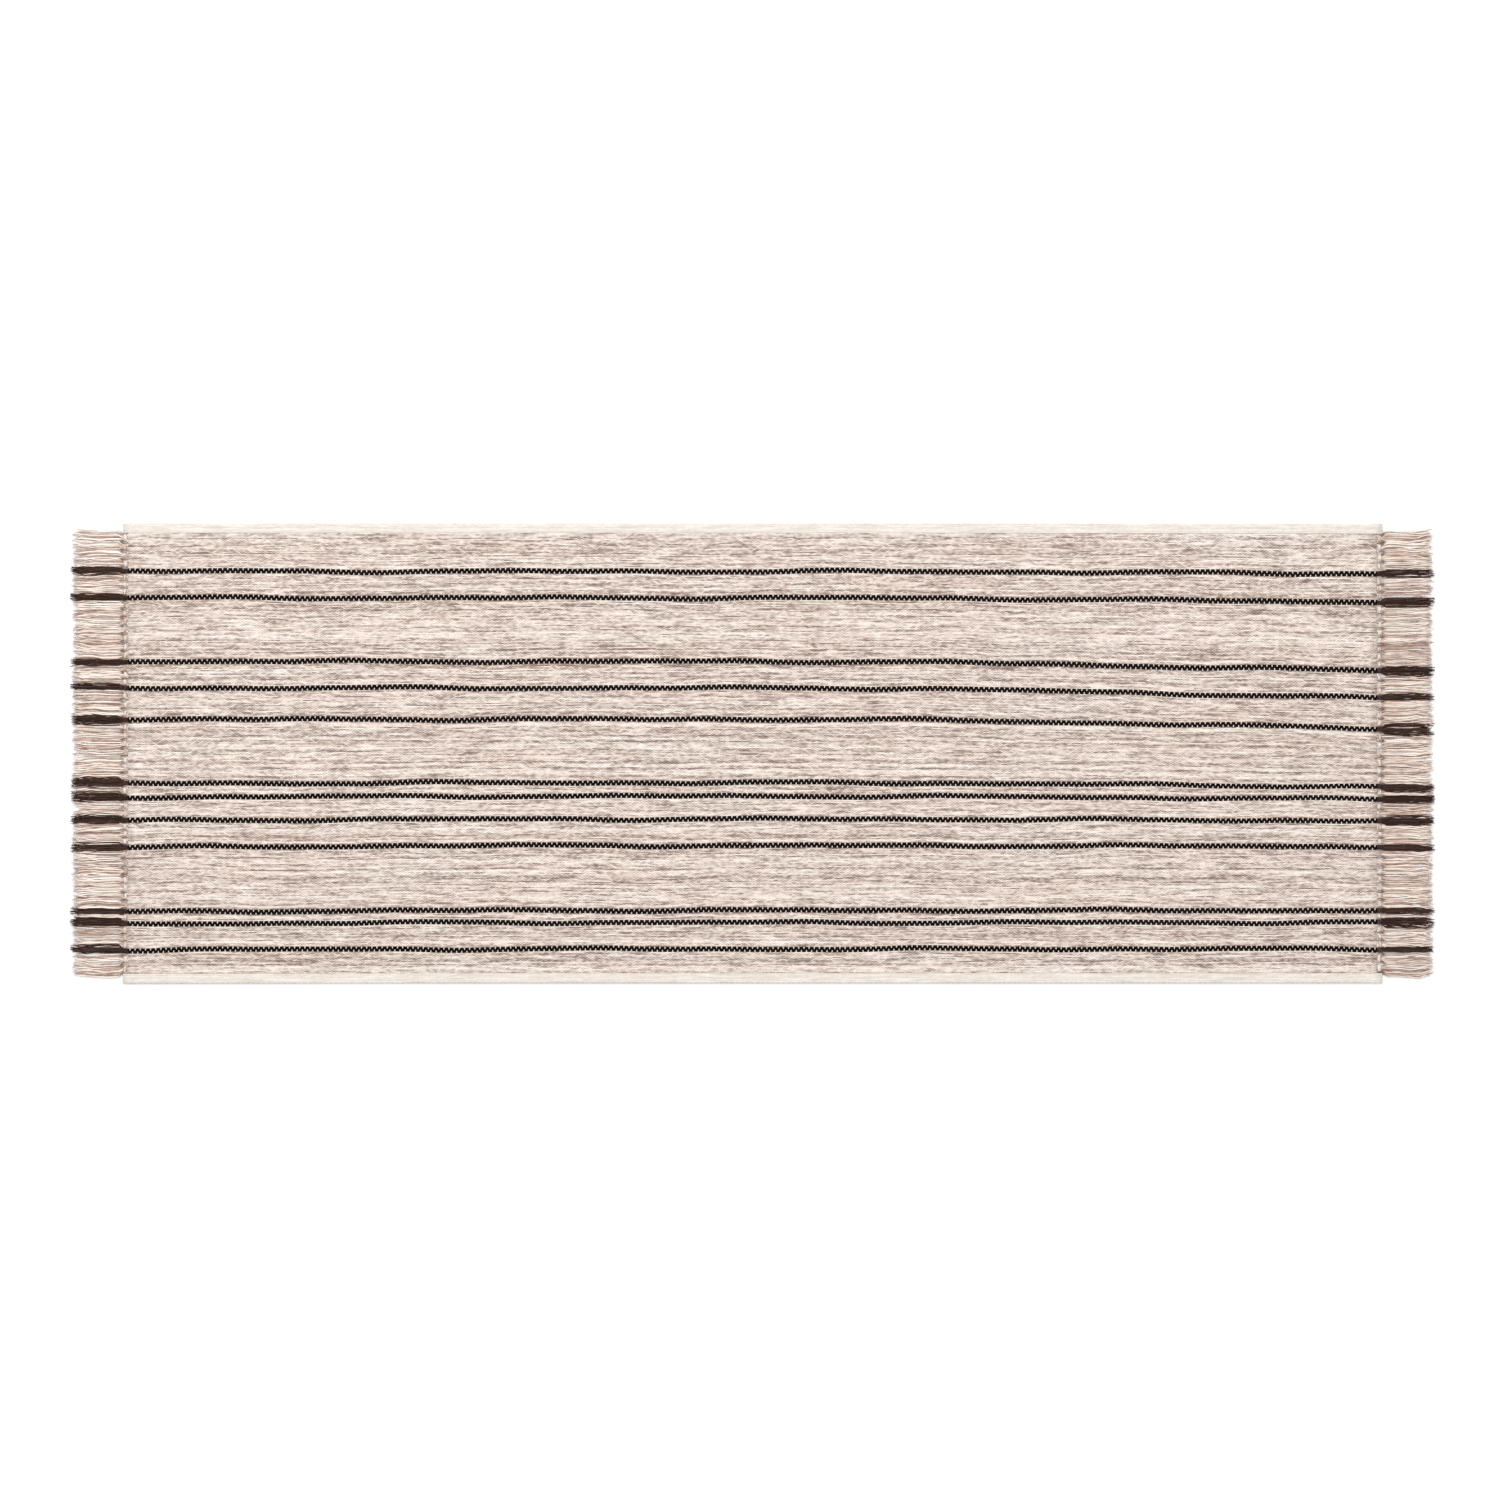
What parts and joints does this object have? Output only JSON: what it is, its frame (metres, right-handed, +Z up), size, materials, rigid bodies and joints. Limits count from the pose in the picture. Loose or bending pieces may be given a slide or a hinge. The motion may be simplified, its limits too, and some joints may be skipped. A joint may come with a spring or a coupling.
{
  "type": "runner rug",
  "caption": "Flat-woven striped runner rug: space-dyed ground warps and dark stripe warps over a weft, cream selvedges, and knotted fringe with dark tassels that folds at both ends.",
  "frame": {"origin": "middle of the rug's underside, on the floor", "axes": "+X along the warps, the rug's length, towards end b; +Y across the rug, towards the left selvedge; +Z up, out of the walking side"},
  "size_m": [1.8006, 0.6082, 0.006],
  "materials": {
    "ground_yarn": "space-dyed cotton warp, cream to taupe streaks, matt",
    "stripe_yarn": "heavy near-black brown cotton warp, matt",
    "selvedge_yarn": "undyed cream cotton warp, matt",
    "weft_yarn": "cream cotton weft, matt",
    "knot_yarn": "knotted pale cotton warp, matt",
    "fringe_yarn": "loose space-dyed cotton strands, matt",
    "tassel_yarn": "loose dark brown cotton strands, matt"
  },
  "bodies": {
    "rug": {"weft": "weft_yarn", "selvedge_left": "selvedge_yarn", "ground_warp_01": "ground_yarn", "ground_warp_02": "ground_yarn", "ground_warp_03": "ground_yarn", "ground_warp_04": "ground_yarn", "ground_warp_05": "ground_yarn", "ground_warp_06": "ground_yarn", "ground_warp_07": "ground_yarn", "ground_warp_08": "ground_yarn", "ground_warp_09": "ground_yarn", "ground_warp_10": "ground_yarn", "ground_warp_11": "ground_yarn", "ground_warp_12": "ground_yarn", "ground_warp_13": "ground_yarn", "stripe_warp_01": "stripe_yarn", "stripe_warp_02": "stripe_yarn", "stripe_warp_03": "stripe_yarn", "stripe_warp_04": "stripe_yarn", "stripe_warp_05": "stripe_yarn", "stripe_warp_06": "stripe_yarn", "stripe_warp_07": "stripe_yarn", "stripe_warp_08": "stripe_yarn", "stripe_warp_09": "stripe_yarn", "stripe_warp_10": "stripe_yarn", "stripe_warp_11": "stripe_yarn", "stripe_warp_12": "stripe_yarn", "selvedge_right": "selvedge_yarn", "knot_row_a": "knot_yarn", "knot_row_b": "knot_yarn"},
    "fringe_flap_a": {"fringe_a": "fringe_yarn", "tassel_a_01": "tassel_yarn", "tassel_a_02": "tassel_yarn", "tassel_a_03": "tassel_yarn", "tassel_a_04": "tassel_yarn", "tassel_a_05": "tassel_yarn", "tassel_a_06": "tassel_yarn", "tassel_a_07": "tassel_yarn", "tassel_a_08": "tassel_yarn", "tassel_a_09": "tassel_yarn", "tassel_a_10": "tassel_yarn", "tassel_a_11": "tassel_yarn", "tassel_a_12": "tassel_yarn"},
    "fringe_flap_b": {"fringe_b": "fringe_yarn", "tassel_b_01": "tassel_yarn", "tassel_b_02": "tassel_yarn", "tassel_b_03": "tassel_yarn", "tassel_b_04": "tassel_yarn", "tassel_b_05": "tassel_yarn", "tassel_b_06": "tassel_yarn", "tassel_b_07": "tassel_yarn", "tassel_b_08": "tassel_yarn", "tassel_b_09": "tassel_yarn", "tassel_b_10": "tassel_yarn", "tassel_b_11": "tassel_yarn", "tassel_b_12": "tassel_yarn"}
  },
  "joints": [
    {"name": "fringe_fold_a", "type": "hinge", "parent": "rug", "child": "fringe_flap_a", "pos_m": [-0.8328, 0, 0.0063], "axis": [0, 1, 0], "range_deg": [0, 175]},
    {"name": "fringe_fold_b", "type": "hinge", "parent": "rug", "child": "fringe_flap_b", "pos_m": [0.8328, 0, 0.0063], "axis": [0, -1, 0], "range_deg": [0, 175]}
  ]
}
